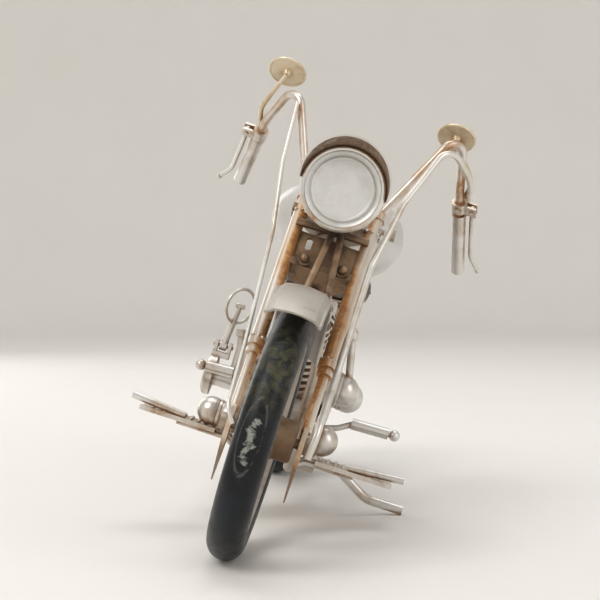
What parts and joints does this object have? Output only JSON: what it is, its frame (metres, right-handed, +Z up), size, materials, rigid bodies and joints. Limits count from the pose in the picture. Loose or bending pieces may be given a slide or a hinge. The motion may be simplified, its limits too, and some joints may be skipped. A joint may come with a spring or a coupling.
{
  "type": "tin model motorcycle",
  "caption": "Decorative tin chopper motorcycle standing on its side stand, with turning wheels, steering, stand, hand levers and gear lever.",
  "frame": {"origin": "on the table, below the middle of the space the standing bike takes up", "axes": "+Z up, +Y towards the back wheel, +X to the rider's left, the side it leans to"},
  "size_m": [0.1146, 0.2574, 0.1527],
  "materials": {
    "tyre_black": "matt, scuffed",
    "saddle_leather": "worn satin",
    "pearl_tin": "pearl silver paint",
    "fender_tin": "warm grey tin",
    "aged_fork": "silver paint over orange rust",
    "brown_tin": "browned tin",
    "bar_tin": "silver, slightly browned",
    "aged_frame": "silver paint, browned",
    "bright_metal": "silver",
    "lamp_face": "brushed",
    "brown_hub": "rusted",
    "rim_silver": "aged silver",
    "cream_tin": "pale silver",
    "mirror_tin": "brassy cream patina",
    "peak_tin": "silver, dark inside",
    "engine_tin": "aged silver"
  },
  "bodies": {
    "chassis": {"steering_head": "aged_frame", "backbone_tube": "aged_frame", "frame_tube_left": "aged_frame", "frame_tube_right": "aged_frame", "rear_axle": "aged_frame", "top_stays": "aged_frame", "crankcase": "engine_tin", "cylinder_front": "engine_tin", "cylinder_rear": "engine_tin", "cylinder_heads": "engine_tin", "rod_covers": "bright_metal", "generator_drum": "bright_metal", "right_drum": "bright_metal", "upper_case_domes": "bright_metal", "side_cover": "bright_metal", "carburettor": "engine_tin", "foot_pegs": "bright_metal", "floorboard_left": "bright_metal", "floorboard_right": "bright_metal", "exhaust": "engine_tin", "chain_case": "engine_tin", "tank_left": "pearl_tin", "tank_right": "pearl_tin", "tank_caps": "bright_metal", "seat_springs": "aged_frame", "seat_pan": "aged_frame", "seat": "saddle_leather", "rear_fender": "fender_tin", "rear_fender_stays": "aged_frame"},
    "steering": {"front_axle": "aged_frame", "fork_left": "aged_fork", "fork_right": "aged_fork", "lower_yoke": "brown_tin", "upper_yoke": "aged_frame", "lamp_cross_bar": "brown_tin", "headlight_shell": "pearl_tin", "headlight_rim": "bright_metal", "headlight_disc": "lamp_face", "headlight_visor": "peak_tin", "front_fender": "fender_tin", "fender_struts": "brown_tin", "handlebar_left": "bar_tin", "handlebar_right": "bar_tin", "grips": "bright_metal", "lever_clamps": "bright_metal", "mirrors": "mirror_tin", "cable_left": "cream_tin", "cable_right": "cream_tin"},
    "front_wheel": {"front_rim": "rim_silver", "front_tyre": "tyre_black", "front_hub": "brown_hub", "front_spokes": "rim_silver"},
    "rear_wheel": {"rear_rim": "rim_silver", "rear_tyre": "tyre_black", "rear_hub": "brown_hub", "rear_spokes": "rim_silver"},
    "clutch_lever": {"clutch_lever": "bright_metal"},
    "brake_lever": {"brake_lever": "bright_metal"},
    "side_stand": {"side_stand": "bright_metal"},
    "gear_lever": {"gear_lever": "bright_metal"}
  },
  "joints": [
    {"name": "steer", "type": "hinge", "parent": "chassis", "child": "steering", "pos_m": [0.00529, -0.04243, 0.08706], "axis": [0.2484, 0.5635, 0.7879], "range_deg": [-20, 20]},
    {"name": "front_wheel_spin", "type": "hinge", "parent": "steering", "child": "front_wheel", "pos_m": [-0.01066, -0.0907, 0.0365], "axis": [0.9537, 0, -0.3007], "continuous": true},
    {"name": "rear_wheel_spin", "type": "hinge", "parent": "chassis", "child": "rear_wheel", "pos_m": [-0.01099, 0.0873, 0.03543], "axis": [0.9537, 0, -0.3007], "continuous": true},
    {"name": "clutch_squeeze", "type": "hinge", "parent": "steering", "child": "clutch_lever", "pos_m": [0.05353, -0.02419, 0.10305], "axis": [0.2054, 0.7305, 0.6513], "range_deg": [0, 3]},
    {"name": "brake_squeeze", "type": "hinge", "parent": "steering", "child": "brake_lever", "pos_m": [-0.02111, -0.02365, 0.13005], "axis": [-0.2264, -0.658, -0.7181], "range_deg": [0, 3]},
    {"name": "stand_fold", "type": "hinge", "parent": "chassis", "child": "side_stand", "pos_m": [-0.00088, -0.0127, 0.01894], "axis": [0.3007, 0, 0.9537], "range_deg": [0, 80]},
    {"name": "gear_shift", "type": "hinge", "parent": "chassis", "child": "gear_lever", "pos_m": [-0.03082, -0.0107, 0.05701], "axis": [0.9537, 0, -0.3007], "range_deg": [-18, 18]}
  ]
}
